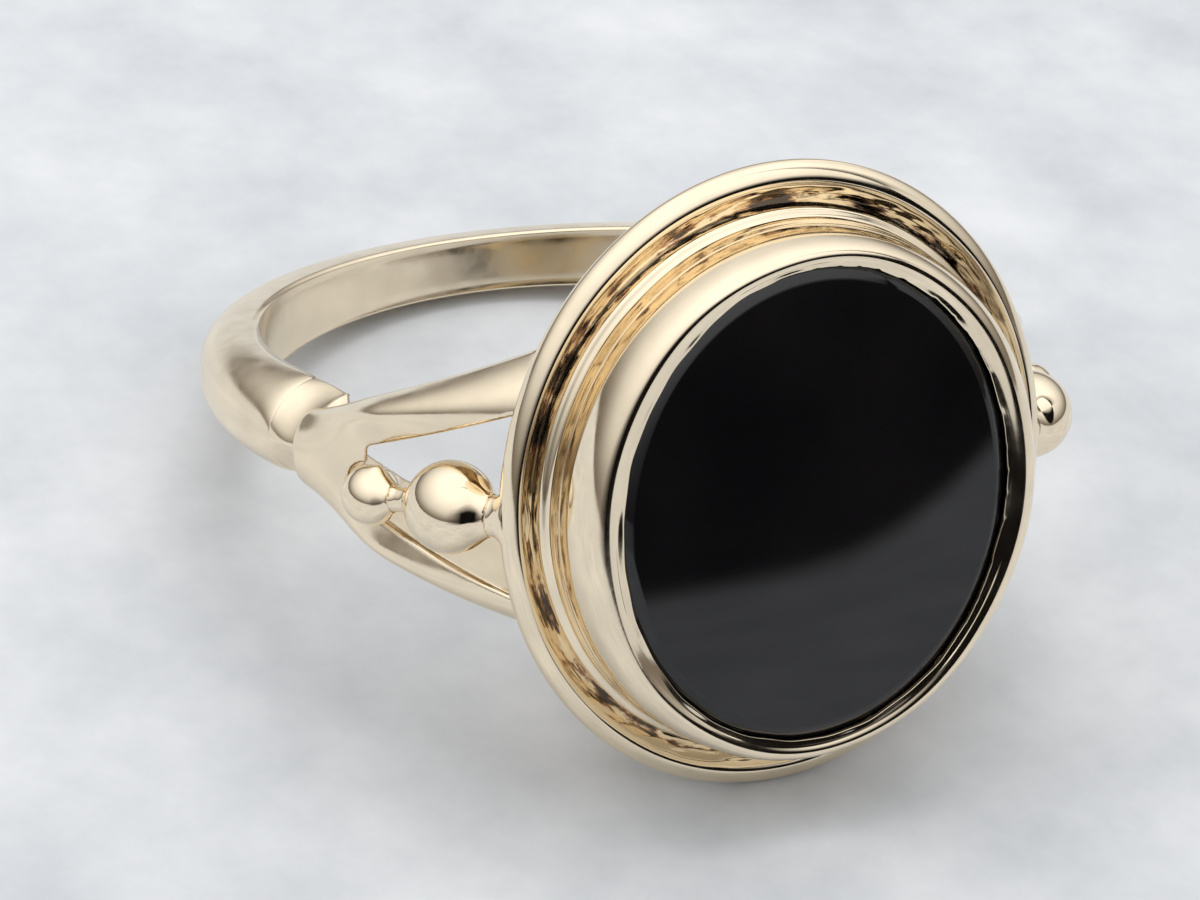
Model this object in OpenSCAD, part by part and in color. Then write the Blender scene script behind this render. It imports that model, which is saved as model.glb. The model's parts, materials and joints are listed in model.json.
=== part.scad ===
// Signet ring: a split-shoulder gold ring with an oval black onyx in a rubbed-over bezel.
// Millimetres. The ring lies as it rests on a table, on the lower edge of its head and the back of
// its shank. X runs across the head, the stone looks towards -Y and up, and Z = 0 is the table.

/* [Finger] */
// Radius of the finger hole
finger_r = 8.9; // [8:0.1:10]

/* [Shank] */
// Thickness of the shank, from the finger to its outside
shank_t = 1.6; // [1.3:0.1:2]
// Width of the shank at the back of the finger
shank_back_w = 1.6; // [1.4:0.1:2]
// Width of the shank where it meets the shoulders
shank_front_w = 2.6; // [2.2:0.1:3]
// Angle from the middle of the head to each end of the shank
shank_end_angle = 71; // [69:1:74]
// Angle that each collar takes up, between the shank and the shoulder
collar_angle = 3; // [2:0.5:4]
// Depth of the groove that each collar leaves around the joint
collar_groove = 0.25; // [0.15:0.05:0.4]

/* [Shoulders] */
// Height of the shoulder's round root above the outside of the shank
fork_root_rise = 0.25; // [0.1:0.05:0.4]
// Thickness of each branch where it meets the head
fork_tip_t = 1.6; // [1.3:0.1:1.8]
// Half of the shoulder's width at the head, to the outside of a branch
fork_tip_half = 3.4; // [3.2:0.1:3.7]
// How far the shoulder's middle is dished below its ridges, as a share of its thickness
fork_dish = 0.14; // [0.05:0.01:0.2]
// Half of the opening's width where it starts, beside the small bead
opening_start_half = 0.87; // [0.8:0.01:0.95]
// Angle between the middle of the opening and each branch
opening_spread = 19.5; // [18:0.5:21]
// Gap behind the small bead, between it and the end of its socket
socket_gap = 0.42; // [0.3:0.02:0.5]

/* [Beads] */
// Radius of each large bead
large_bead_r = 1.12; // [1:0.02:1.2]
// Radius of each small bead
small_bead_r = 0.68; // [0.6:0.02:0.74]
// Gap between the beads, bridged by a link
bead_gap = 0.62; // [0.4:0.02:0.7]
// Radius of the post between the large bead and the head
post_r = 0.6; // [0.45:0.05:0.7]
// Radius of the link between the beads
link_r = 0.36; // [0.25:0.05:0.45]
// How deep the small bead's middle lies below the shoulder's ridges
small_bead_sink = 0.2; // [0.1:0.05:0.3]
// How far the small bead sits below the middle of the shoulder
small_bead_drop = 0.2; // [0:0.05:0.25]
// How far the large bead stands outside the middle of the rim
bead_out = 1; // [0.8:0.05:1.2]
// How far the large bead stands behind the middle of the rim
bead_back = 1.5; // [1.4:0.05:1.7]

/* [Stone] */
// Width of the stone's face inside the bezel
stone_w = 10.1; // [9:0.1:11]
// Height of the stone's face inside the bezel
stone_h = 11.8; // [10.5:0.1:12.6]
// Thickness of the stone
stone_t = 1.6; // [1.3:0.1:2]
// Rise of the stone's face at its middle
stone_dome = 0.12; // [0.05:0.01:0.3]
// How far the stone runs under the bezel's lip
girdle_out = 0.15; // [0.1:0.05:0.2]

/* [Head] */
// Height of the rim's middle above the finger
head_rise = 1.8; // [1.6:0.1:2.2]
// Height of the stone's edge above the rim's middle
stone_rise = 2.3; // [2:0.1:2.6]
// Height of the bezel's crest above the stone's edge
crest_rise = 0.14; // [0.1:0.02:0.24]
// Thickness of the bezel's wall at the sides of the stone
bezel_side_t = 0.9; // [0.7:0.05:1]
// Thickness of the bezel's wall at the ends of the stone
bezel_end_t = 0.52; // [0.45:0.02:0.7]
// Width of the step around the bezel
step_w = 0.27; // [0.2:0.01:0.35]
// Height of the step above the channel
step_h = 0.55; // [0.4:0.05:0.7]
// Width of channel and rim at the sides of the stone
border_side_w = 0.8; // [0.75:0.05:1]
// Width of channel and rim at the ends of the stone
border_end_w = 1.05; // [0.9:0.05:1.2]
// Radius of the round rim
rim_r = 0.36; // [0.3:0.02:0.4]
// Thickness of the channel plate
plate_t = 0.5; // [0.4:0.05:0.6]
// Width of the ledge under the stone
ledge_w = 0.7; // [0.5:0.05:0.9]
// Wall of the gallery under the head
gallery_t = 1.1; // [0.8:0.1:1.3]

/* [Hidden] */

round_fn = 96;
oval_steps = 64;
finger_length = 40;
LEFT = -1;
RIGHT = 1;
gold = "#D9C79A";
pale_gold = "#E6DAB8";
onyx_black = "#17161A";

// Heights above the middle of the finger.
rim_proud = 0.15;
girdle_drop = 0.3;
rim_y = finger_r + head_rise;
plate_top = rim_y - rim_proud;
plate_bottom = plate_top - plate_t;
step_top = plate_top + step_h;
stone_edge_y = rim_y + stone_rise;
stone_bottom = stone_edge_y - stone_t;
girdle_y = stone_edge_y - girdle_drop;
crest_y = stone_edge_y + crest_rise;

// Ovals of the head as [half width, half height].
face_oval = [stone_w / 2, stone_h / 2];
girdle_oval = grow(face_oval, girdle_out);
bezel_oval = girdle_oval + [bezel_side_t, bezel_end_t];
step_oval = grow(bezel_oval, step_w);
rim_oval = step_oval + [border_side_w, border_end_w];
rim_mid = grow(rim_oval, -rim_r);
gallery_out = 0.2;
rim_chord = 0.15;
dish_rise = 0.2;
crest_share = 0.42;
step_round = 0.1;
plate_oval = grow(rim_mid, -rim_chord);
ledge_oval = grow(girdle_oval, -ledge_w);
gallery_oval = grow(ledge_oval, gallery_out);

// The shank's section is half an ellipse, and a wedge narrows it towards the back.
shank_out_r = finger_r + shank_t;
front_half = shank_front_w / 2;
back_half = shank_back_w / 2;
back_corner_y = finger_r + shank_t * sqrt(1 - pow(back_half / front_half, 2));

// Each shoulder starts at the collar and ends under the channel plate.
fork_angle = shank_end_angle - collar_angle;
fork_root_r = shank_out_r + fork_root_rise;
fork_tip_out = [plate_oval[0] - 0.05, plate_bottom];
fork_tip_in = fork_tip_out - [fork_tip_t, 0];
fork_last_angle = atan2(fork_tip_out[0], fork_tip_out[1]) + 3;
fork_last_r = norm(fork_tip_out) - 0.05;
fork_root_half = front_half - 0.1;
fork_steps = 12;
fork_in_r = finger_r / cos((fork_angle - fork_last_angle) / fork_steps / 2);
opening_reach = 8;

// Half of the shoulder's section as [share of the half width, share of the thickness].
fork_section = [[1, 0], [0.98, 0.5], [0.9, 0.8], [0.78, 1], [0.6, 1 - fork_dish / 2],
                [0.3, 1 - 0.9 * fork_dish], [0, 1 - fork_dish]];

// The beads stand in a row along the opening.
large_bead_x = rim_mid[0] + bead_out;
large_bead_y = rim_y - bead_back;
bead_pitch = large_bead_r + small_bead_r + bead_gap;
bead_row_r = norm([large_bead_x, large_bead_y]);
small_bead_angle = atan2(large_bead_x, large_bead_y) + 2 * asin(bead_pitch / 2 / bead_row_r);
small_bead = on_ring(fork_out_r(small_bead_angle) - small_bead_sink, small_bead_angle);

// The small bead sits in a round socket, which is set back from it and open to the wedge before it.
socket_back = 0.37;
socket_r = small_bead_r + socket_gap - socket_back;
opening_start = 0.16;
post_foot = [plate_oval[0] - 0.1, plate_top];

// The ring tips forward until the rim and the back of the shank touch the table.
rim_low = [rim_y, rim_mid[1]];
rest_run = [back_corner_y + rim_low[0], rim_low[1] - back_half];
tilt = atan(rest_run[1] / rest_run[0]) + asin(rim_r / norm(rest_run));
lift = back_corner_y * sin(tilt) + back_half * cos(tilt);
front_reach = max([for (p = bezel_profile()) p[2] * cos(tilt) + p[1] * sin(tilt)]);
back_reach = finger_r * cos(tilt) + norm([shank_t * cos(tilt), front_half * sin(tilt)]);
shift = (front_reach - back_reach) / 2;

// An oval grown by the same width all round.
function grow(oval, by) = oval + [by, by];

// A point of the plan, [across, forward], at a radius and an angle from the head's middle.
function on_ring(radius, angle) = radius * [sin(angle), cos(angle)];

// Radius of the shoulder's ridges at an angle from the head's middle.
function fork_out_r(angle) =
    let (left = (angle - fork_last_angle) / (fork_angle - fork_last_angle))
    fork_root_r + (fork_last_r - fork_root_r) * (1 - left * left);

// The shoulder's section at a share of the way from its root to the last one square to the ring.
function fork_ring(t) =
    let (angle = fork_angle + (fork_last_angle - fork_angle) * t,
         half = fork_root_half + (0.95 * fork_tip_half - fork_root_half) * pow(t, 1.15))
    fork_outline(on_ring(fork_in_r, angle), on_ring(fork_out_r(angle), angle), half, min(1, 3 * t));

// A section of the shoulder, which goes from half round to dished: [across, -forward, up].
function fork_outline(inside, outside, half, dished) = [
    for (side = [1, -1], i = [0:len(fork_section) - 1])
        if (side == 1 || i > 0)
            let (spot = fork_section[side == 1 ? i : len(fork_section) - 1 - i],
                 round_share = sqrt(1 - spot[0] * spot[0]),
                 share = round_share + (spot[1] - round_share) * dished,
                 place = inside + (outside - inside) * share)
            [place[0], -place[1], side * half * spot[0]]];

// A profile point on an oval, at a height: [half width, half height, height].
function at(oval, height) = [oval[0], oval[1], height];

// A place in the bezel's wall, from the stone's face at 0 to the wall's outside at 1.
function in_wall(share) = face_oval + share * (bezel_oval - face_oval);

// The bezel's section, up the outside, over the crest and down to the stone's edge.
function bezel_profile() = [
    at(bezel_oval, plate_top),
    at(bezel_oval, step_top),
    for (a = [0:30:90])
        at(in_wall(crest_share + (0.9 - crest_share) * cos(a)), girdle_y + (crest_y - girdle_y) * sin(a)),
    at(in_wall(crest_share / 2), stone_edge_y + 0.8 * crest_rise),
    at(in_wall(crest_share / 6), stone_edge_y + 0.3 * crest_rise),
    at(face_oval, stone_edge_y),
    at(girdle_oval, girdle_y),
    at(girdle_oval, plate_top)];

// The stone's section, from its side over the edge to near the middle of the face.
function stone_profile() = [
    at(girdle_oval, stone_bottom),
    at(girdle_oval, girdle_y),
    at(face_oval, stone_edge_y),
    for (share = [0.95:-0.15:0.2]) at(share * face_oval, stone_edge_y + stone_dome * (1 - share * share))];

// The rim's section: a round wire with a flat on its inside.
function rim_profile() =
    let (open = 180 - acos(rim_chord / rim_r))
    [for (share = [-1:0.2:1.01])
        at(grow(rim_mid, rim_r * cos(open * share)), rim_y + rim_r * sin(open * share))];

// The channel plate's section, hollowed between the step and the rim.
function plate_profile() = [
    at(girdle_oval, plate_bottom),
    at(plate_oval, plate_bottom),
    at(plate_oval, plate_top + dish_rise),
    at(grow(plate_oval, -dish_rise / 3), plate_top + dish_rise / 3),
    at(step_oval, plate_top),
    at(girdle_oval, plate_top)];

// Points of a section carried round the oval.
function oval_points(profile) = [
    for (i = [0:oval_steps - 1], p = profile)
        [p[0] * cos(i * 360 / oval_steps), p[1] * sin(i * 360 / oval_steps), p[2]]];

// Turns a section, listed anticlockwise, into a closed oval ring about the head's axis.
module oval_ring(profile) {
    n = len(profile);
    faces = [
        for (i = [0:oval_steps - 1], j = [0:n - 1])
            let (k = (i + 1) % oval_steps, m = (j + 1) % n)
            [i * n + j, i * n + m, k * n + m, k * n + j]];
    polyhedron(oval_points(profile), faces, convexity = 4);
}

// Turns a section that starts and ends flat into a closed oval disc.
module oval_disc(profile) {
    n = len(profile);
    sides = [
        for (i = [0:oval_steps - 1], j = [0:n - 2])
            let (k = (i + 1) % oval_steps)
            [i * n + j, i * n + j + 1, k * n + j + 1, k * n + j]];
    bottom = [for (i = [0:oval_steps - 1]) i * n];
    top = [for (i = [oval_steps - 1:-1:0]) i * n + n - 1];
    polyhedron(oval_points(profile), concat(sides, [bottom, top]), convexity = 4);
}

// Sets the ring down on the table.
module resting() {
    translate([0, shift, lift]) rotate([-tilt, 0, 0]) children();
}

// Turns a shape drawn face up so that it faces forward.
module on_head() {
    resting() rotate([90, 0, 0]) children();
}

module finger() {
    cylinder(h = finger_length, r = finger_r, center = true, $fn = round_fn);
}

module half_round(thick, half) {
    polygon([for (a = [-90:10:90]) [finger_r + thick * cos(a), half * sin(a)]]);
}

module shank() {
    span = 360 - 2 * shank_end_angle;
    front = -finger_r * cos(shank_end_angle);
    color(gold) resting() intersection() {
        rotate([0, 0, shank_end_angle - 90])
            rotate_extrude(angle = span, $fn = round_fn) half_round(shank_t, front_half);
        rotate([90, 0, 90]) linear_extrude(height = 3 * shank_out_r, center = true)
            polygon([[-shank_out_r, front_half], [-shank_out_r, -front_half], [front, -front_half],
                     [back_corner_y, -back_half], [shank_out_r + 1, -back_half],
                     [shank_out_r + 1, back_half], [back_corner_y, back_half], [front, front_half]]);
    }
}

module collar(side) {
    start = side == RIGHT ? fork_angle - 90 : 270 - shank_end_angle;
    color(pale_gold) resting() rotate([0, 0, start])
        rotate_extrude(angle = collar_angle, $fn = round_fn)
            half_round(shank_t - collar_groove, front_half - collar_groove);
}

// A solid through sections that all have the same number of points.
module loft(sections) {
    n = len(sections[0]);
    last = len(sections) - 1;
    sides = [
        for (i = [0:last - 1], j = [0:n - 1])
            let (k = (j + 1) % n)
            [i * n + j, i * n + k, (i + 1) * n + k, (i + 1) * n + j]];
    start = [for (j = [n - 1:-1:0]) j];
    end = [for (j = [0:n - 1]) last * n + j];
    polyhedron([for (section = sections, point = section) point], concat([start, end], sides), convexity = 4);
}

// The small bead's socket and the wedge between the branches, cut along the small bead's ray.
module fork_opening() {
    mouth_half = opening_start_half + opening_reach * tan(opening_spread);
    rotate([90, 0, 180 + small_bead_angle]) linear_extrude(height = 4 * shank_out_r, center = true) {
        translate([-socket_back, -small_bead_drop]) circle(r = socket_r, $fn = 48);
        translate([opening_start, 0])
            polygon([[0, -opening_start_half], [opening_reach, -mouth_half], [opening_reach, mouth_half],
                     [0, opening_start_half]]);
    }
}

// Turns what is drawn for the right side to a side of the ring.
module on_side(side) {
    if (side == LEFT) mirror([1, 0, 0]) children();
    else children();
}

module bead_at(side, across, forward, drop, radius) {
    translate([side * across, -forward, -drop]) sphere(r = radius, $fn = 48);
}

module small_ball(side) {
    bead_at(side, small_bead[0], small_bead[1], small_bead_drop, small_bead_r);
}

module large_ball(side) {
    bead_at(side, large_bead_x, large_bead_y, 0, large_bead_r);
}

// A round bar between two points.
module bar(from, to, radius) {
    run = to - from;
    translate(from) rotate([0, acos(run[2] / norm(run)), atan2(run[1], run[0])])
        cylinder(h = norm(run), r = radius, $fn = 32);
}

// What the posts end against.
module head_back() {
    rotate([90, 0, 0]) {
        oval_ring(plate_profile());
        oval_ring(rim_profile());
    }
}

module fork(side) {
    end = fork_outline(fork_tip_in, fork_tip_out, fork_tip_half, 1);
    color(gold) resting() on_side(side) difference() {
        loft(concat([for (i = [0:fork_steps]) fork_ring(i / fork_steps)], [end]));
        fork_opening();
        small_ball(RIGHT);
    }
}

module small_bead(side) {
    color(pale_gold) resting() small_ball(side);
}

module large_bead(side) {
    color(pale_gold) resting() large_ball(side);
}

module bead_link(side) {
    color(pale_gold) resting() difference() {
        bar([side * small_bead[0], -small_bead[1], -small_bead_drop],
            [side * large_bead_x, -large_bead_y, 0], link_r);
        small_ball(side);
        large_ball(side);
    }
}

module bead_post(side) {
    color(pale_gold) resting() difference() {
        bar([side * large_bead_x, -large_bead_y, 0], [side * post_foot[0], -post_foot[1], 0], post_r);
        large_ball(side);
        head_back();
    }
}

module gallery() {
    color(gold) resting() difference() {
        rotate([90, 0, 0]) oval_ring([
            at(grow(gallery_oval, -gallery_t), finger_r / 2),
            at(gallery_oval, finger_r / 2),
            at(gallery_oval, plate_bottom),
            at(grow(gallery_oval, -gallery_t), plate_bottom)]);
        finger();
    }
}

module channel_plate() {
    color(gold) on_head() oval_ring(plate_profile());
}

module rim() {
    color(gold) on_head() oval_ring(rim_profile());
}

module step_border() {
    color(pale_gold) on_head() oval_ring([
        at(bezel_oval, plate_top),
        at(step_oval, plate_top),
        at(step_oval, step_top - step_round),
        at(grow(step_oval, -step_round), step_top),
        at(bezel_oval, step_top)]);
}

module bezel() {
    color(pale_gold) on_head() oval_ring(bezel_profile());
}

module stone_ledge() {
    color(gold) on_head() oval_ring([
        at(ledge_oval, plate_bottom),
        at(girdle_oval, plate_bottom),
        at(girdle_oval, stone_bottom),
        at(ledge_oval, stone_bottom)]);
}

module onyx() {
    color(onyx_black) on_head() oval_disc(stone_profile());
}

shank();
collar(LEFT);  // left_collar
collar(RIGHT);  // right_collar
fork(LEFT);  // left_fork
fork(RIGHT);  // right_fork
small_bead(LEFT);  // left_small_bead
small_bead(RIGHT);  // right_small_bead
bead_link(LEFT);  // left_bead_link
bead_link(RIGHT);  // right_bead_link
large_bead(LEFT);  // left_large_bead
large_bead(RIGHT);  // right_large_bead
bead_post(LEFT);  // left_bead_post
bead_post(RIGHT);  // right_bead_post
gallery();
channel_plate();
rim();
step_border();
bezel();
stone_ledge();
onyx();
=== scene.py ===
"""Looks for a signet ring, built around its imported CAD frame.

Shapes are worked out in millimetres about the middle of the finger hole, as [across, forward, up]:
across the head, forward to the stone, and up along the finger's axis. to_row() carries them to the row frame.
"""
import json
import math

import bmesh
import bpy
import numpy as np
import openvdb
from mathutils import Matrix, Vector


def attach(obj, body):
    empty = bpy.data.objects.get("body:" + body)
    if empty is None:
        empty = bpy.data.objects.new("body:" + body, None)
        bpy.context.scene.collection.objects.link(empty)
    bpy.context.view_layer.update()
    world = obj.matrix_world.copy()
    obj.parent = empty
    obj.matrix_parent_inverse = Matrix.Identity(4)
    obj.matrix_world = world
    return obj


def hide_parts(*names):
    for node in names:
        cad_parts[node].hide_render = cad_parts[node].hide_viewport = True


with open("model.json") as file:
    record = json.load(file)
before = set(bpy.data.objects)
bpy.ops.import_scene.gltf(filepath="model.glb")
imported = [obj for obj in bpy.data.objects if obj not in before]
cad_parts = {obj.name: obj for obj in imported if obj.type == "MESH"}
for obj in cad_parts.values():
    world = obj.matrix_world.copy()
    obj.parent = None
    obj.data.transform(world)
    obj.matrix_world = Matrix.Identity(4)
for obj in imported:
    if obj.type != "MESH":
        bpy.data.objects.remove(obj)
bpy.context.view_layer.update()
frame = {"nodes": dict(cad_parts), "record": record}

MM = 0.001
HOLE = frame["record"]["mounts"][0]
CENTRE = np.array(HOLE["pos_m"])
UP = np.array(HOLE["axis"]) / np.linalg.norm(HOLE["axis"])
ACROSS = np.array((1.0, 0.0, 0.0))
FORWARD = np.cross(ACROSS, UP)
AXES = np.array((ACROSS, FORWARD, UP))
LEFT, RIGHT = -1, 1
SIDES = {"left": LEFT, "right": RIGHT}


def to_row(points):
    """Points in the ring's millimetres, carried to the row frame's metres."""
    return CENTRE + np.asarray(points) @ AXES * MM


def span(node):
    """Lowest and highest [across, forward, up] of a CAD node, in millimetres."""
    mesh = frame["nodes"][node].data
    co = np.empty(len(mesh.vertices) * 3)
    mesh.vertices.foreach_get("co", co)
    local = (co.reshape(-1, 3) - CENTRE) / MM @ AXES.T
    return local.min(0), local.max(0)


# Sizes, read from the frame.
FINGER_R = HOLE["dims"]["r_mm"]
SHANK_OUT_R = span("shank")[1][0]
FORK_LO, FORK_HI = span("right_fork")
SMALL_LO, SMALL_HI = span("right_small_bead")
LARGE_LO, LARGE_HI = span("right_large_bead")
SMALL_MID, SMALL_R = (SMALL_LO + SMALL_HI) / 2, (SMALL_HI[2] - SMALL_LO[2]) / 2
LARGE_MID, LARGE_R = (LARGE_LO + LARGE_HI) / 2, (LARGE_HI[2] - LARGE_LO[2]) / 2
RIM_LO, RIM_HI = span("rim")
PLATE_LO, PLATE_HI = span("channel_plate")
STEP_LO, STEP_HI = span("step_border")
BEZEL_HI = span("bezel")[1]
ONYX_LO, ONYX_HI = span("onyx")
LEDGE_HI = span("stone_ledge")[1]
RIM_R = (RIM_HI[1] - RIM_LO[1]) / 2
RIM_Y = (RIM_HI[1] + RIM_LO[1]) / 2
PLATE_BOTTOM = PLATE_LO[1]
PLATE_TOP = STEP_LO[1]
STEP_TOP = STEP_HI[1]
CREST_Y = BEZEL_HI[1]
STONE_TOP = ONYX_HI[1]
STONE_BOTTOM = ONYX_LO[1]

# What the CAD holds and a box can't show: millimetres, and degrees from the head for the last two.
STONE_EDGE = CREST_Y - 0.14
GIRDLE_Y = STONE_EDGE - 0.3
GIRDLE_OUT = 0.15
CREASE_Y = STEP_TOP + 0.5
SHANK_FRONT_HALF = 1.3
SHANK_BACK_HALF = 0.8
SHANK_END = 75.4
FORK_ROOT = 68


# --- Camera, light and floor ---

# The camera: angles in radians, places in millimetres, the lens as for a 36 mm sensor.
VIEW_AZIMUTH = -0.41088
VIEW_ELEVATION = 0.341348
VIEW_ROLL = -0.0117838
VIEW_DISTANCE = 99.992
VIEW_RIGHT = 0.0819
VIEW_UP = -2.5624
LENS = 113.1
SENSOR = 36

ROOM_LIGHT = 1.3
LIGHTS_AIM = Vector((0, 0, 0.008))
FLOOR_HALF = 0.6

# The black card: its radius and its middle in metres, then azimuths and elevations in degrees.
CARD_R = 0.07
CARD_Y, CARD_Z = -0.012, 0.0082
CARD_FROM, CARD_TO, CARD_MIDDLE = -44, 88, 18
CARD_FOOT, CARD_BEND, CARD_LIFT = -7.2, 24, 0.03
CARD_TOP, CARD_ARCH = 44, 0.9
CARD_COLUMNS, CARD_ROWS = 48, 12


def make_camera():
    """The camera at the photograph's viewing angle, aimed from the ring's own axes."""
    level = math.cos(VIEW_ELEVATION)
    away = (FORWARD * (level * math.cos(VIEW_AZIMUTH)) + ACROSS * (level * math.sin(VIEW_AZIMUTH))
            + UP * math.sin(VIEW_ELEVATION))
    right = np.cross(-away, UP)
    right /= np.linalg.norm(right)
    above = np.cross(right, -away)
    turned_right = math.cos(VIEW_ROLL) * right + math.sin(VIEW_ROLL) * above
    turned_above = -math.sin(VIEW_ROLL) * right + math.cos(VIEW_ROLL) * above
    place = CENTRE + (away * VIEW_DISTANCE + turned_right * VIEW_RIGHT + turned_above * VIEW_UP) * MM
    camera = bpy.data.objects.new("camera", bpy.data.cameras.new("camera"))
    bpy.context.scene.collection.objects.link(camera)
    camera.matrix_world = Matrix([(turned_right[i], turned_above[i], away[i], place[i]) for i in range(3)]
                                 + [(0, 0, 0, 1)])
    camera.data.sensor_width = SENSOR
    camera.data.lens = LENS
    camera.data.clip_start = MM
    bpy.context.scene.camera = camera


def add_softbox(name, place, size, power):
    """A rectangular white light that faces the ring and shows in no polished surface."""
    light = bpy.data.lights.new(name, "AREA")
    light.shape = "RECTANGLE"
    light.size, light.size_y = size
    light.energy = power
    lamp = bpy.data.objects.new(name, light)
    lamp.location = place
    lamp.rotation_euler = (LIGHTS_AIM - Vector(place)).to_track_quat("-Z", "Y").to_euler()
    lamp.visible_glossy = False
    bpy.context.scene.collection.objects.link(lamp)


def new_material(name):
    """A material with its node tree and its Principled shader."""
    material = bpy.data.materials.new(name)
    material.use_nodes = True
    tree = material.node_tree
    return material, tree, tree.nodes["Principled BSDF"]


def noise(tree, scale, detail, stretch=(1, 1, 1), roughness=0.5, space="Object"):
    """A noise texture, stretched along the axes of object space or of a piece's own UV map."""
    place = tree.nodes.new("ShaderNodeTexCoord")
    mapping = tree.nodes.new("ShaderNodeMapping")
    mapping.inputs["Scale"].default_value = stretch
    texture = tree.nodes.new("ShaderNodeTexNoise")
    texture.inputs["Scale"].default_value = scale
    texture.inputs["Detail"].default_value = detail
    texture.inputs["Roughness"].default_value = roughness
    tree.links.new(place.outputs[space], mapping.inputs["Vector"])
    tree.links.new(mapping.outputs["Vector"], texture.inputs["Vector"])
    return texture.outputs["Fac"]


def ramp(tree, value, stops):
    """A colour ramp through [(position, colour), ...]."""
    node = tree.nodes.new("ShaderNodeValToRGB")
    elements = node.color_ramp.elements
    while len(elements) < len(stops):
        elements.new(0.5)
    for element, (position, colour) in zip(elements, stops):
        element.position = position
        element.color = (*colour, 1)
    tree.links.new(value, node.inputs["Fac"])
    return node.outputs["Color"]


def bump(tree, height, depth, below=None):
    """A bump as deep as it is asked to be, in millimetres, over another bump if there is one."""
    node = tree.nodes.new("ShaderNodeBump")
    node.inputs["Strength"].default_value = 1
    node.inputs["Distance"].default_value = depth * MM
    tree.links.new(height, node.inputs["Height"])
    if below is not None:
        tree.links.new(below, node.inputs["Normal"])
    return node.outputs["Normal"]


def make_floor():
    """A pale mottled floor under the ring."""
    material, tree, shader = new_material("pale_floor")
    mottled = noise(tree, 130, 8, roughness=0.62)
    colour = ramp(tree, mottled, [(0.34, (0.48, 0.50, 0.525)), (0.66, (0.63, 0.645, 0.665))])
    tree.links.new(colour, shader.inputs["Base Color"])
    shader.inputs["Roughness"].default_value = 0.6
    shader.inputs["Specular IOR Level"].default_value = 0.2
    corners = [(x * FLOOR_HALF, y * FLOOR_HALF, 0) for x, y in ((-1, -1), (1, -1), (1, 1), (-1, 1))]
    mesh = bpy.data.meshes.new("floor")
    mesh.from_pydata(corners, [], [(0, 1, 2, 3)])
    mesh.materials.append(material)
    floor = bpy.data.objects.new("floor", mesh)
    bpy.context.scene.collection.objects.link(floor)


def make_world():
    """A pale room, brightest overhead."""
    world = bpy.data.worlds.new("room")
    bpy.context.scene.world = world
    world.use_nodes = True
    tree = world.node_tree
    place = tree.nodes.new("ShaderNodeTexCoord")
    split = tree.nodes.new("ShaderNodeSeparateXYZ")
    tree.links.new(place.outputs["Generated"], split.inputs[0])
    heights = [(0.0, (0.12, 0.10, 0.085)), (0.1, (0.22, 0.205, 0.19)),
               (0.35, (0.56, 0.56, 0.56)), (0.85, (1.0, 1.0, 1.0))]
    height = ramp(tree, split.outputs["Z"], heights)
    tree.links.new(height, tree.nodes["Background"].inputs["Color"])
    tree.nodes["Background"].inputs["Strength"].default_value = ROOM_LIGHT


def make_dark_card():
    """A black card with soft edges, curved round the front of the ring, that only polished surfaces see."""
    material, tree, shader = new_material("black_card")
    place = tree.nodes.new("ShaderNodeTexCoord")
    split = tree.nodes.new("ShaderNodeSeparateXYZ")
    tree.links.new(place.outputs["UV"], split.inputs[0])
    clear, solid_black = (0, 0, 0), (1, 1, 1)
    sideways = ramp(tree, split.outputs["X"],
                    [(0, clear), (0.3, solid_black), (0.85, solid_black), (1, clear)])
    upwards = ramp(tree, split.outputs["Y"],
                   [(0, clear), (0.025, solid_black), (0.6, solid_black), (1, clear)])
    both = tree.nodes.new("ShaderNodeVectorMath")
    both.operation = "MULTIPLY"
    tree.links.new(sideways, both.inputs[0])
    tree.links.new(upwards, both.inputs[1])
    tree.links.new(both.outputs[0], shader.inputs["Alpha"])
    shader.inputs["Base Color"].default_value = (0.006, 0.005, 0.005, 1)
    shader.inputs["Roughness"].default_value = 1
    shader.inputs["Specular IOR Level"].default_value = 0
    stride = CARD_ROWS + 1
    points, faces = [], []
    for i in range(CARD_COLUMNS + 1):
        azimuth = CARD_FROM + (CARD_TO - CARD_FROM) * i / CARD_COLUMNS
        foot = CARD_FOOT + CARD_LIFT * max(0, azimuth - CARD_BEND) ** 2
        top = CARD_TOP * math.cos(math.radians(azimuth - CARD_MIDDLE) * CARD_ARCH)
        turn = math.radians(azimuth)
        for j in range(stride):
            rise = math.radians(foot + (top - foot) * j / CARD_ROWS)
            reach = CARD_R * math.cos(rise)
            points.append((reach * math.sin(turn), CARD_Y - reach * math.cos(turn),
                           CARD_Z + CARD_R * math.sin(rise)))
    for i in range(CARD_COLUMNS):
        for j in range(CARD_ROWS):
            k = i * stride + j
            faces.append((k, k + 1, k + stride + 1, k + stride))
    mesh = bpy.data.meshes.new("dark_card")
    mesh.from_pydata(points, [], faces)
    shares = [(k // stride / CARD_COLUMNS, k % stride / CARD_ROWS) for face in faces for k in face]
    mesh.uv_layers.new(name="shares").data.foreach_set("uv", np.ravel(shares))
    mesh.materials.append(material)
    card = bpy.data.objects.new("dark_card", mesh)
    bpy.context.scene.collection.objects.link(card)
    card.visible_camera = False
    card.visible_diffuse = False
    card.visible_shadow = False


# --- Materials ---

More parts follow.
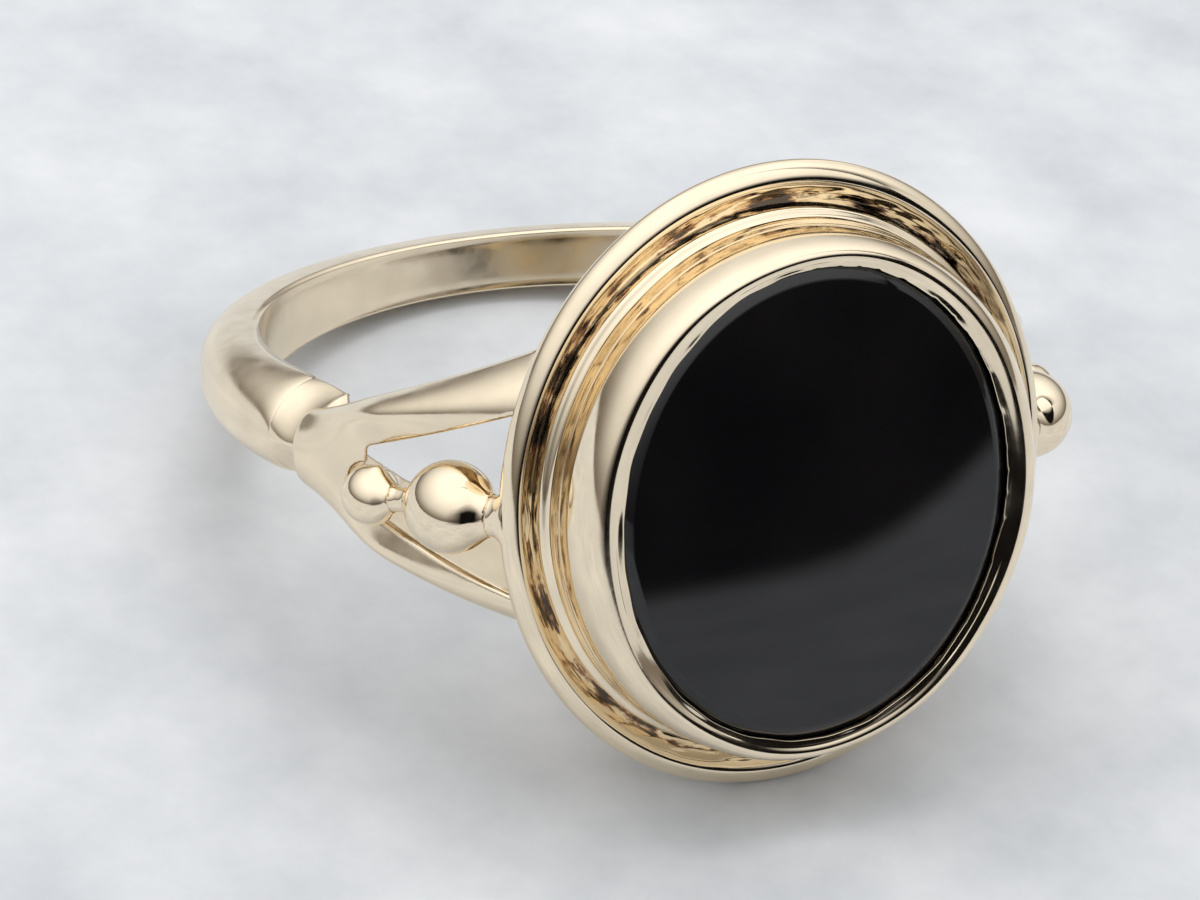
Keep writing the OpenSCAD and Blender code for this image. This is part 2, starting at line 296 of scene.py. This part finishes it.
def gold(name, colour, roughness, wave, grain=0.0, crinkles_and_painted_shade=0.0, lines=0.0):
    """Polished gold: slow waves, fine grain, crinkles under painted dark patches of shade and reflection, and
    tool lines, each with its depth in millimetres."""
    material, tree, shader = new_material(name)
    shader.inputs["Metallic"].default_value = 1
    patches = noise(tree, 900, 3)
    darker = tuple(c * 0.93 for c in colour)
    if crinkles_and_painted_shade:
        # Painted shade: dark and brown noise patches stand in for shade and dark reflections in the channel.
        patches = noise(tree, 1, 4, stretch=(34, 3.2, 1), roughness=0.6, space="UV")
        stops = [(0.42, PAINTED_DARK_SHADE), (0.47, BROWN), (0.52, darker), (0.62, colour)]
    else:
        stops = [(0.35, darker), (0.65, colour)]
    tree.links.new(ramp(tree, patches, stops), shader.inputs["Base Color"])
    smears = noise(tree, 1500, 4)
    smeared = ramp(tree, smears, [(0.3, (roughness * 0.7,) * 3), (0.7, (roughness * 1.35,) * 3)])
    tree.links.new(smeared, shader.inputs["Roughness"])
    normal = bump(tree, noise(tree, 700, 2), wave)
    if grain:
        normal = bump(tree, noise(tree, 6000, 3), grain, normal)
    if crinkles_and_painted_shade:
        crinkles = noise(tree, 1, 3, stretch=(38, 4, 1), roughness=0.5, space="UV")
        normal = bump(tree, crinkles, crinkles_and_painted_shade, normal)
    if lines:
        normal = bump(tree, noise(tree, 1, 2, stretch=(14, 11, 1), space="UV"), lines, normal)
    tree.links.new(normal, shader.inputs["Normal"])
    return material


def onyx_black():
    """Polished black onyx with the faintest cloudiness."""
    material, tree, shader = new_material("onyx_black")
    clouds = [(0.3, (0.0035, 0.0033, 0.0038)), (0.8, (0.008, 0.0072, 0.0078))]
    colour = ramp(tree, noise(tree, 300, 4), clouds)
    tree.links.new(colour, shader.inputs["Base Color"])
    shader.inputs["Roughness"].default_value = 0.05
    shader.inputs["IOR"].default_value = 1.54
    tree.links.new(bump(tree, noise(tree, 260, 2), 0.0006), shader.inputs["Normal"])
    return material


PALE = (0.95, 0.82, 0.62)
WARM = (0.89, 0.72, 0.47)
BROWN = (0.42, 0.26, 0.17)
# Painted shade: the darkest colour of the channel's painted patches of shade and dark reflection.
PAINTED_DARK_SHADE = (0.10, 0.09, 0.085)
GOLD = {
    "hoop": gold("hoop_gold", PALE, 0.19, wave=0.004, grain=0.0006),
    "fork": gold("shoulder_gold", PALE, 0.17, wave=0.004, grain=0.0006),
    "bead": gold("bead_gold", PALE, 0.07, wave=0.0015),
    "head": gold("head_gold", PALE, 0.09, wave=0.003, grain=0.0003),
    # The channel carries painted dark patches of shade and reflection over its crinkles.
    "channel": gold("channel_gold", PALE, 0.10, wave=0.006, grain=0.0004, crinkles_and_painted_shade=0.02),
    "step": gold("step_gold", PALE, 0.11, wave=0.003, grain=0.0003, lines=0.002),
    "inside": gold("inside_gold", WARM, 0.32, wave=0.004, grain=0.002),
}


# --- Mesh helpers ---

def add_piece(name, points, faces, material, node):
    """A closed piece that stands for a CAD node."""
    mesh = bpy.data.meshes.new(name)
    mesh.from_pydata(to_row(points).tolist(), [], [list(map(int, face)) for face in faces])
    work = bmesh.new()
    work.from_mesh(mesh)
    bmesh.ops.recalc_face_normals(work, faces=work.faces)
    work.to_mesh(mesh)
    work.free()
    mesh.materials.append(material)
    mesh.polygons.foreach_set("use_smooth", [True] * len(mesh.polygons))
    piece = bpy.data.objects.new(name, mesh)
    bpy.context.scene.collection.objects.link(piece)
    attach(piece, "root")
    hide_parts(node)
    return piece


# Faces round the head, samples to a span of a curve, and the closest that two samples may lie.
AROUND = 600
CURVE_STEPS = 8
CLOSEST = 0.01


def curve(controls):
    """A closed cubic spline round control points (x, y, repeat): 1 is smooth and 3 is a sharp corner."""
    points = np.array([control[:2] for control in controls for _ in range(control[2])], float)
    t = np.arange(CURVE_STEPS)[:, None] / CURVE_STEPS
    weights = [(1 - t) ** 3, 3 * t ** 3 - 6 * t ** 2 + 4, -3 * t ** 3 + 3 * t ** 2 + 3 * t + 1, t ** 3]
    spans = [sum(weight * points[(i + k) % len(points)] for k, weight in enumerate(weights)) / 6
             for i in range(len(points))]
    path = [spans[0][0]]
    for point in np.concatenate(spans):
        if np.linalg.norm(point - path[-1]) > CLOSEST:
            path.append(point)
    return np.array(path)


def ring_faces(count, closed=True):
    """Quads over a profile of count points carried round the head; a closed profile returns to its start."""
    i, j = np.meshgrid(np.arange(AROUND), np.arange(count if closed else count - 1), indexing="ij")
    i, j = i.ravel(), j.ravel()
    k, m = (i + 1) % AROUND, (j + 1) % count
    return np.stack([i * count + j, i * count + m, k * count + m, k * count + j], 1)


FACE = np.array((ONYX_HI[0] - GIRDLE_OUT, ONYX_HI[2] - GIRDLE_OUT))
OVALS = np.array([FACE, (BEZEL_HI[0], BEZEL_HI[2]), (STEP_HI[0], STEP_HI[2]), (RIM_HI[0], RIM_HI[2])])


def oval_points(profile, wobble=None):
    """A profile of (u, forward) carried round the head: u is 0 at the edge of the stone's face, 1 at the
    bezel's outside, 2 at the step's and 3 at the rim's. A wobble moves its points."""
    u, forward = np.array(profile, float).T
    turn = np.linspace(0, 2 * np.pi, AROUND, endpoint=False)[:, None]
    keys = np.arange(len(OVALS))
    wide = np.interp(u, keys, OVALS[:, 0]) + np.minimum(u, 0) * OVALS[0, 0]
    high = np.interp(u, keys, OVALS[:, 1]) + np.minimum(u, 0) * OVALS[0, 1]
    points = np.stack([wide * np.cos(turn), np.broadcast_to(forward, (AROUND, len(u))),
                       high * np.sin(turn)], 2)
    if wobble is not None:
        points = points + wobble(turn, u, forward)
    return points


def oval_ring(name, profile, material, node, wobble=None):
    """A closed ring round the head, with its turn and its u as its UV map."""
    points = oval_points(profile, wobble)
    faces = ring_faces(len(profile))
    piece = add_piece(name, points.reshape(-1, 3), faces, material, node)
    corners = np.empty(len(piece.data.loops), int)
    piece.data.loops.foreach_get("vertex_index", corners)
    turn, spot = corners // len(profile), corners % len(profile)
    first = np.repeat(turn.reshape(-1, 4).max(1), 4)
    turn = np.where((first == AROUND - 1) & (turn == 0), AROUND, turn)
    uv = np.stack([turn / AROUND, np.array(profile)[spot, 0]], 1)
    piece.data.uv_layers.new(name="around").data.foreach_set("uv", uv.ravel())
    return piece


def waves(turn, counts, phases):
    """A sum of sines round the head, mostly between -1 and 1."""
    return sum(np.sin(count * turn + phase) for count, phase in zip(counts, phases)) / len(counts) ** 0.5


# --- Smooth solids from fields: each field is below 0 inside, in millimetres ---

def smooth_max(a, b, width):
    """The larger of two fields, with the crease between them rounded over a width."""
    share = np.clip(0.5 - 0.5 * (a - b) / width, 0, 1)
    return a * (1 - share) + b * share + width * share * (1 - share)


def smooth_min(a, b, width):
    """The smaller of two fields, with the crease between them filled over a width."""
    return -smooth_max(-a, -b, width)


def ball(points, middle, radius):
    """A sphere."""
    return np.linalg.norm(points - middle, axis=-1) - radius


def capsule(points, start, end, radius):
    """A round-ended bar."""
    run = end - start
    share = np.clip((points - start) @ run / (run @ run), 0, 1)
    return np.linalg.norm(points - start - share[..., None] * run, axis=-1) - radius


LEAST_STEEP = 0.2
SETTLINGS = 3


def solid(name, field, low, high, step, material, node, side):
    """Meshes a field that is drawn for the right side, then settles every point onto its surface."""
    low, high = np.array(low, float), np.array(high, float)
    counts = np.ceil((high - low) / step).astype(int) + 1
    grids = [low[i] + step * np.arange(counts[i]) for i in range(3)]
    cells = np.stack(np.meshgrid(*grids, indexing="ij"), -1)
    band = 3 * step
    values = np.clip(field(cells), -band, band).astype(np.float32)
    grid = openvdb.FloatGrid(band)
    grid.copyFromArray(values)
    points, quads = grid.convertToQuads(0)
    points = low + points.astype(float) * step
    nudge = step * 0.05
    for _ in range(SETTLINGS):
        value = field(points)
        slope = np.stack([(field(points + shift) - field(points - shift)) / (2 * nudge)
                          for shift in np.eye(3) * nudge], -1)
        steep = np.maximum((slope ** 2).sum(-1), LEAST_STEEP)
        points = points - np.clip(value / steep, -step, step)[:, None] * slope
    points[:, 0] *= side
    add_piece(name, points, quads, material, node)


# --- Shank and collars ---

FLAT_SHARE = 0.94
BORE_EASE = 0.03


def hoop_section(half, thick, power):
    """Half-round section with soft edges: (radius, up) outside first, closed along the finger."""
    turn = np.linspace(-np.pi / 2, np.pi / 2, 41)
    radius = FINGER_R + thick * np.abs(np.cos(turn)) ** (2 / power)
    up = half * np.sign(np.sin(turn)) * np.abs(np.sin(turn)) ** (2 / power)
    inside = np.linspace(FLAT_SHARE * half, -FLAT_SHARE * half, 9)
    crown = BORE_EASE * (1 - (inside / half) ** 8)
    return np.concatenate([np.stack([radius, up], 1), np.stack([FINGER_R + BORE_EASE - crown, inside], 1)])


def sweep(name, angles, section_at, material, node):
    """Sweeps sections round the finger; an angle is measured from the head, in degrees."""
    rings = []
    for angle in angles:
        section = section_at(angle)
        a = math.radians(angle)
        rings.append(np.stack([section[:, 0] * math.sin(a), section[:, 0] * math.cos(a), section[:, 1]], 1))
    count = len(rings[0])
    i, j = np.meshgrid(np.arange(len(rings) - 1), np.arange(count), indexing="ij")
    i, j = i.ravel(), j.ravel()
    m = (j + 1) % count
    faces = np.stack([i * count + j, i * count + m, (i + 1) * count + m, (i + 1) * count + j], 1).tolist()
    faces += [list(range(count)), [(len(rings) - 1) * count + j for j in range(count)]]
    add_piece(name, np.concatenate(rings), faces, material, node)


def shank_half(angle):
    """Half of the shank's width, which narrows towards the back."""
    forward = SHANK_OUT_R * math.cos(math.radians(angle))
    start = SHANK_OUT_R * math.cos(math.radians(SHANK_END))
    share = (start - forward) / (start + SHANK_OUT_R)
    return SHANK_FRONT_HALF + (SHANK_BACK_HALF - SHANK_FRONT_HALF) * np.clip(share, 0, 1)


def make_shank():
    """The half-round band, with its ends rolled where they meet the collars."""
    def section(angle):
        from_end = min(angle - SHANK_END, 360 - SHANK_END - angle)
        squareness = 2.1 + 0.9 * math.sin(math.radians(min(max(from_end, 0), 90)))
        roll = 0.1 * math.exp(-from_end / 1.1)
        return hoop_section(shank_half(angle) - roll, SHANK_OUT_R - FINGER_R - roll - 0.02, squareness)
    ends = [0, 0.4, 0.8, 1.2, 1.8, 2.6, 3.6]
    middle = np.linspace(SHANK_END + 5, 355 - SHANK_END, 170)
    angles = [SHANK_END + e for e in ends] + list(middle) + [360 - SHANK_END - e for e in reversed(ends)]
    sweep("shank_band", angles, section, GOLD["hoop"], "shank")


def make_collar(name, side):
    """The grooved piece between a shoulder's root and the shank's end."""
    def section(angle):
        turned = angle if angle < 180 else 360 - angle
        share = np.clip((turned - FORK_ROOT) / (SHANK_END - FORK_ROOT), 0, 1)
        power = 2.0 - 0.62 * math.sin(math.pi * share) ** 0.6
        dip = 0.10 + 0.16 * (1 - share) ** 2
        return hoop_section(shank_half(SHANK_END) - 0.7 * dip, SHANK_OUT_R - FINGER_R - dip, power)
    angles = np.linspace(FORK_ROOT - 0.8, SHANK_END + 0.5, 31)
    if side == LEFT:
        angles = 360 - angles
    sweep(name + "_collar_block", list(angles), section, GOLD["fork"], name + "_collar")


# --- Shoulders and beads ---

# A shoulder's section, as shares of its half width and of its thickness, with its corners blurred.
FORK_SPOTS = np.array([(0, 0.86), (0.3, 0.88), (0.55, 0.93), (0.8, 1.0), (0.92, 0.94), (1.0, 0.72),
                       (1.2, -0.4)])
FORK_FINE = np.linspace(-1.3, 1.3, 521)
FORK_BLUR = np.hanning(59)[1:-1] / np.hanning(59).sum()
FORK_CORNERS = np.pad(np.interp(np.abs(FORK_FINE), *FORK_SPOTS.T), len(FORK_BLUR) // 2, mode="edge")
FORK_DISHED = np.convolve(FORK_CORNERS, FORK_BLUR, mode="valid")

# A shoulder's tip at the head, its root at the collar, and the opening between its branches.
TIP_ACROSS = FORK_LO[0]
TIP_OUT = np.array((PLATE_HI[0] - 0.05, PLATE_BOTTOM))
LAST_ANGLE = math.degrees(math.atan2(*TIP_OUT)) + 3
LAST_R = np.linalg.norm(TIP_OUT) - 0.05
ROOT_R = SHANK_OUT_R + 0.25
ROOT_HALF = SHANK_FRONT_HALF - 0.05
FORK_TAPER = 1.15
FORK_WAIST_R, FORK_WAIST = 10.6, 0.38
FORK_DROOP, DROOP_FROM = 0.24, 1.6
TIP_HALF = FORK_HI[2]
CROTCH_R = 0.77
POCKET, SOCKET_BACK, SOCKET_FLAT = 0.42, 0.37, 1.3
OPENING_SPREAD = math.radians(19.5)
BEAD_ANGLE = math.atan2(SMALL_MID[0], SMALL_MID[1])
BEAD_ROW_R = math.hypot(SMALL_MID[0], SMALL_MID[1])
UNDERCUT, WALL_FROM, WALL_RISE = 0.75, 0.16, 0.2
FORK_CELL = 0.07


def by_bead(along, rise, up):
    """A point beside the small bead: along the shoulder to the head, out from the finger, and up."""
    out = np.array((math.sin(BEAD_ANGLE), math.cos(BEAD_ANGLE), 0))
    to_head = np.array((-math.cos(BEAD_ANGLE), math.sin(BEAD_ANGLE), 0))
    return SMALL_MID + along * to_head + rise * out + np.array((0, 0, up))


def fork_opening(points):
    """Distance to the wedge between the branches and to the small bead's socket, cut along the bead's ray."""
    along = points[..., 1] * math.sin(BEAD_ANGLE) - points[..., 0] * math.cos(BEAD_ANGLE)
    high = np.abs(points[..., 2])
    behind = SMALL_R + POCKET - CROTCH_R
    flat = high * math.cos(OPENING_SPREAD) - (along + behind) * math.sin(OPENING_SPREAD) - CROTCH_R
    rise = points[..., 0] * math.sin(BEAD_ANGLE) + points[..., 1] * math.cos(BEAD_ANGLE) - BEAD_ROW_R
    wedge = smooth_max(flat, WALL_FROM + UNDERCUT * (rise - WALL_RISE) - along, 0.12)
    side_on = (points[..., 2] - SMALL_MID[2]) * SOCKET_FLAT
    socket = np.hypot(along + SOCKET_BACK, side_on) - (SMALL_R + POCKET - SOCKET_BACK)
    return np.minimum(wedge, socket)


def fork_field(points):
    """A shoulder: a domed root that widens into two ridges with a dish between them, split by the opening."""
    across, forward, up = points[..., 0], points[..., 1], points[..., 2]
    radius = np.hypot(across, forward)
    angle = np.degrees(np.arctan2(across, forward))
    t = np.clip((FORK_ROOT - angle) / (FORK_ROOT - LAST_ANGLE), 0, 1.15)
    grown = t ** FORK_TAPER
    out_r = ROOT_R + (LAST_R - ROOT_R) * grown
    half = ROOT_HALF + (0.95 * TIP_HALF - ROOT_HALF) * grown
    s = up / half
    dished = np.interp(s, FORK_FINE, FORK_DISHED)
    domed = np.clip(1 - np.abs(s) ** 2.5, 0, 1) ** 0.4
    blend = np.clip(1.9 * t, 0, 1)
    blend = blend * blend * (3 - 2 * blend)
    droop = FORK_DROOP * np.clip(np.abs(up) - DROOP_FROM, 0, None) ** 2
    surface = FINGER_R + (out_r - FINGER_R) * (domed + (dished - domed) * blend) - droop
    body = (radius - surface) * 0.75
    waist = FORK_WAIST * np.clip(FORK_WAIST_R - radius, 0, 2)
    body = smooth_max(body, np.abs(up) - half + waist, 0.34)
    body = smooth_max(body, -fork_opening(points), 0.12)
    body = smooth_max(body, FINGER_R + 0.01 - radius, 0.08)
    body = smooth_max(body, TIP_ACROSS - across, 0.1)
    body = np.maximum(body, forward - PLATE_BOTTOM - 0.12)
    root_gap = radius * np.sin(np.radians(angle - FORK_ROOT))
    return smooth_max(body, root_gap - 0.12, 0.26)


def make_fork(name, side):
    """A shoulder with both of its branches."""
    low = (TIP_ACROSS - 0.3, FORK_LO[1] - 0.4, -TIP_HALF - 0.3)
    high = (FORK_HI[0] + 0.5, FORK_HI[1] + 0.4, TIP_HALF + 0.3)
    solid(name + "_shoulder", fork_field, low, high, FORK_CELL, GOLD["fork"], name + "_fork", side)


RIM_MID = np.array((RIM_HI[0] - RIM_R, RIM_Y, 0))
ARM = [by_bead(0.2, 0.0, 0.62), by_bead(0.4, 0.12, 0.36), by_bead(0.62, 0.2, 0.14)]
SMALL_SWELL = 1.08
LINK_R, ARM_R, POST_R = 0.3, 0.12, 0.36
POST_FLAT, POST_FOOT = 0.72, 0.8
UNDER_RIM = 0.07


def bead_chain(points):
    """Both beads with the necks between and beside them, the arm of solder beside the small bead and the
    post's foot on the rim, as one smooth skin."""
    small, large = ball(points, SMALL_MID, SMALL_SWELL * SMALL_R), ball(points, LARGE_MID, LARGE_R)
    skin = smooth_min(small, capsule(points, SMALL_MID, LARGE_MID, LINK_R), 0.25)
    for start, end in zip(ARM, ARM[1:]):
        skin = smooth_min(skin, capsule(points, start, end, ARM_R), 0.2)
    skin = smooth_min(skin, large, 0.3)
    flat = points * np.array((1, 1, POST_FLAT))
    skin = smooth_min(skin, capsule(flat, LARGE_MID, RIM_MID, POST_R), 0.3)
    rim = np.hypot(points[..., 0] - RIM_MID[0], points[..., 1] - RIM_MID[1]) - RIM_R + UNDER_RIM
    skin = smooth_min(skin, smooth_max(rim, np.abs(points[..., 2]) - POST_FOOT, 0.3), 0.35)
    return smooth_max(skin, points[..., 1] - RIM_MID[1] - 0.1, 0.1)


def between_cuts(points, start, end, low, high):
    """Distance to the slab between two cuts across the run from start to end, in millimetres from start."""
    run = (end - start) / np.linalg.norm(end - start)
    along = (points - start) @ run
    return np.maximum(low - along, along - high)


# Where the necks are cut, in millimetres from the bead before them; FAR lies beyond the whole row.
PITCH = np.linalg.norm(LARGE_MID - SMALL_MID)
NECK_FROM, NECK_TO = SMALL_R + 0.06, PITCH - LARGE_R - 0.02
POST_FROM = LARGE_R + 0.06
FAR = 9
BEAD_CELL = 0.045


def make_beads(name, side):
    """The row of beads on a shoulder, cut at its solder joints into beads, neck and post."""
    def small(points):
        return np.maximum(bead_chain(points), between_cuts(points, SMALL_MID, LARGE_MID, -FAR, NECK_FROM))

    def neck(points):
        return np.maximum(bead_chain(points), between_cuts(points, SMALL_MID, LARGE_MID, NECK_FROM, NECK_TO))

    def large(points):
        held = np.maximum(bead_chain(points), between_cuts(points, SMALL_MID, LARGE_MID, NECK_TO, FAR))
        return np.maximum(held, between_cuts(points, LARGE_MID, RIM_MID, -FAR, POST_FROM))

    def post(points):
        return np.maximum(bead_chain(points), between_cuts(points, LARGE_MID, RIM_MID, POST_FROM, FAR))
    low = np.minimum(SMALL_MID, RIM_MID) - np.array((1.0, 0.9, 1.4))
    high = np.maximum(SMALL_MID, RIM_MID) + np.array((0.9, 0.4, 1.4))
    for piece, field, node in (("_granule_small", small, "_small_bead"), ("_bead_neck", neck, "_bead_link"),
                               ("_granule_large", large, "_large_bead"), ("_post_neck", post, "_bead_post")):
        solid(name + piece, field, low, high, BEAD_CELL, GOLD["bead"], name + node, side)


# --- Head ---

# The seam between the rim and the channel, as u and height over the rim's middle; the crinkled belt, as
# its middle and its reach in u, and the crinkles' rise in millimetres.
SEAM = (2.36, 0.20)
CRINKLE_MIDDLE, CRINKLE_REACH, CRINKLE_RISE = 2.28, 0.27, 0.013


def lifted(lift):
    """A move of the points by lift, forward."""
    return np.stack([0 * lift, lift, 0 * lift], 2)


def crinkle(turn, u):
    """Rise of the polishing crinkles on the channel and the rim's inside, in millimetres."""
    ripple = waves(turn + 0.3 * u, (11, 19, 31, 53), (0.3, 1.7, 4.0, 2.2)) + 0.6 * np.sin(16 * u + 17 * turn)
    near = np.clip(1 - np.abs(u - CRINKLE_MIDDLE) / CRINKLE_REACH, 0, 1)
    return CRINKLE_RISE * ripple * near * near * (3 - 2 * near)


def make_rim():
    """The round wire round the plate, whose inside runs smoothly down to the channel."""
    wide = RIM_R / (OVALS[3, 0] - OVALS[2, 0])
    middle = 3 - wide
    fuller = 1 / 0.955  # a spline lies inside its control points
    outside = [(middle + wide * fuller * math.cos(a), RIM_Y + RIM_R * fuller * math.sin(a), 1)
               for a in np.radians(np.arange(-170, 71, 30))]
    inside = [(2.58, RIM_Y + 0.375, 1), (2.46, RIM_Y + 0.31, 1), (SEAM[0], RIM_Y + SEAM[1], 3)]

    def uneven(turn, u, forward):
        wander = 0.012 * waves(turn, (3, 7, 12), (0.5, 2.1, 0.2)) * np.clip((u - SEAM[0]) / 0.2, 0, 1)
        return lifted((wander + crinkle(turn, u)) * (forward > RIM_Y + 0.1))
    oval_ring("rim_wire", curve(outside + inside), GOLD["head"], "rim", uneven)


DISH_LOWEST = RIM_Y - 0.05


def make_channel():
    """The dished plate between the rim and the step, crinkled by its polishing and plain behind."""
    profile = curve([(SEAM[0], RIM_Y + SEAM[1], 3), (2.26, RIM_Y + 0.09, 1), (2.14, RIM_Y + 0.02, 1),
                     (2.02, RIM_Y - 0.01, 1), (1.9, RIM_Y - 0.02, 1), (0.15, RIM_Y - 0.02, 3),
                     (0.15, PLATE_BOTTOM, 3), (SEAM[0], PLATE_BOTTOM, 3)])

    def crinkled(turn, u, forward):
        return lifted(crinkle(turn, u) * (forward > DISH_LOWEST))
    dish = oval_ring("channel_dish", profile, GOLD["channel"], "channel_plate", crinkled)
    dish.data.materials.append(GOLD["inside"])
    behind = profile[:, 1] < DISH_LOWEST
    hidden = behind | np.roll(behind, -1)
    dish.data.polygons.foreach_set("material_index", np.tile(hidden, AROUND).astype(np.int32))


def make_step():
    """The step round the bezel's foot, and the cove that runs from it up the bezel's wall."""
    profile = curve([(2.0, PLATE_TOP, 3), (2.02, STEP_TOP - 0.25, 1), (1.98, STEP_TOP - 0.01, 1),
                     (1.6, STEP_TOP + 0.04, 1), (1.2, STEP_TOP + 0.08, 1), (1.0, STEP_TOP + 0.25, 1),
                     (0.985, CREASE_Y, 3), (0.9, CREASE_Y, 3), (0.9, PLATE_TOP, 3)])

    def uneven(turn, u, forward):
        return lifted(0.01 * waves(turn, (5, 9, 14), (1.0, 0.4, 2.0)) * (forward > STEP_TOP - 0.25))
    oval_ring("step_ring", profile, GOLD["step"], "step_border", uneven)


def make_bezel():
    """The bezel's wall, its broad roll and the lip that is rubbed over the stone."""
    profile = curve([
        (0.9, PLATE_TOP, 3), (0.9, CREASE_Y - 0.1, 3), (0.985, CREASE_Y - 0.02, 2), (1.02, CREASE_Y + 0.3, 1),
        (0.99, CREASE_Y + 0.7, 1), (0.88, STONE_EDGE - 0.22, 1), (0.66, STONE_EDGE + 0.08, 1),
        (0.4, STONE_EDGE + 0.15, 1), (0.2, STONE_EDGE + 0.06, 1), (0.08, STONE_EDGE + 0.045, 1),
        (0.0, STONE_EDGE + 0.03, 2), (0.01, STONE_EDGE - 0.08, 3), (0.16, GIRDLE_Y, 3), (0.16, PLATE_TOP, 3)])

    def worked(turn, u, forward):
        lip = np.clip((0.16 - u) / 0.12, 0, 1) * (forward > STONE_EDGE - 0.12)
        top_patch = np.clip(np.cos(turn - math.radians(68)), 0, 1) ** 6
        right_patch = np.clip(np.cos(turn + math.radians(8)), 0, 1) ** 9
        nick = np.clip(np.sin(turn * 47 + 2 * np.sin(9 * turn)) - 0.55, 0, 1) * (top_patch + right_patch)
        edge = 0.016 * waves(turn, (5, 9, 17, 29), (0.2, 2.0, 4.4, 1.2)) + 0.06 * nick
        height = np.clip(forward - CREASE_Y, 0, 1)
        roll = 0.02 * waves(turn, (3, 5, 8), (0.4, 1.9, 3.0)) * height * (u > 0.2)
        out = edge * lip + roll * (1 - lip)
        lift = 0.012 * waves(turn, (8, 14), (1, 2)) * lip
        return np.stack([out * np.cos(turn), lift, out * np.sin(turn)], 2)
    oval_ring("bezel_wall", profile, GOLD["head"], "bezel", worked)


def make_onyx():
    """The stone: a polished face with a slight dome over a bevelled edge."""
    edge_u = -0.045
    rings = [(0.143, STONE_BOTTOM), (0.143, GIRDLE_Y - 0.05), (0.12, GIRDLE_Y), (0.0, STONE_EDGE - 0.16),
             (-0.004, STONE_EDGE - 0.15), (edge_u + 0.004, STONE_EDGE - 0.004), (edge_u, STONE_EDGE)]
    dome = STONE_TOP - STONE_EDGE
    shares = np.linspace(1 + edge_u - 0.003, 0, 48)[:-1]
    rings += [(share - 1, STONE_EDGE + 0.003 + dome * 0.85 * (1 - share ** 2)) for share in shares]
    points = oval_points(rings)
    count = len(rings)
    faces = ring_faces(count, closed=False).tolist()
    faces += [[i * count for i in range(AROUND)], [i * count + count - 1 for i in range(AROUND)]]
    add_piece("onyx_stone", points.reshape(-1, 3), faces, onyx_black(), "onyx")


def make_ledge():
    """The bearing that the stone sits on, which nothing shows from outside."""
    inner = (LEDGE_HI[0] - GIRDLE_OUT - 0.7 - FACE[0]) / FACE[0]
    profile = curve([(inner, PLATE_BOTTOM, 3), (0.14, PLATE_BOTTOM, 3), (0.14, STONE_BOTTOM, 3),
                     (inner, STONE_BOTTOM, 3)])
    oval_ring("stone_bearing", profile, GOLD["inside"], "stone_ledge")


make_camera()
make_world()
make_floor()
make_dark_card()
add_softbox("overhead", (0.02, 0.12, 0.40), (0.34, 0.26), 0.5)
add_softbox("left_back", (-0.34, 0.10, 0.20), (0.14, 0.14), 0.25)
bpy.context.scene.view_settings.view_transform = "Standard"

make_shank()
for side_name, side_sign in SIDES.items():
    make_collar(side_name, side_sign)
    make_fork(side_name, side_sign)
    make_beads(side_name, side_sign)
make_rim()
make_channel()
make_step()
make_bezel()
make_onyx()
make_ledge()
gallery = frame["nodes"]["gallery"]
gallery.data.materials.clear()
gallery.data.materials.append(GOLD["inside"])
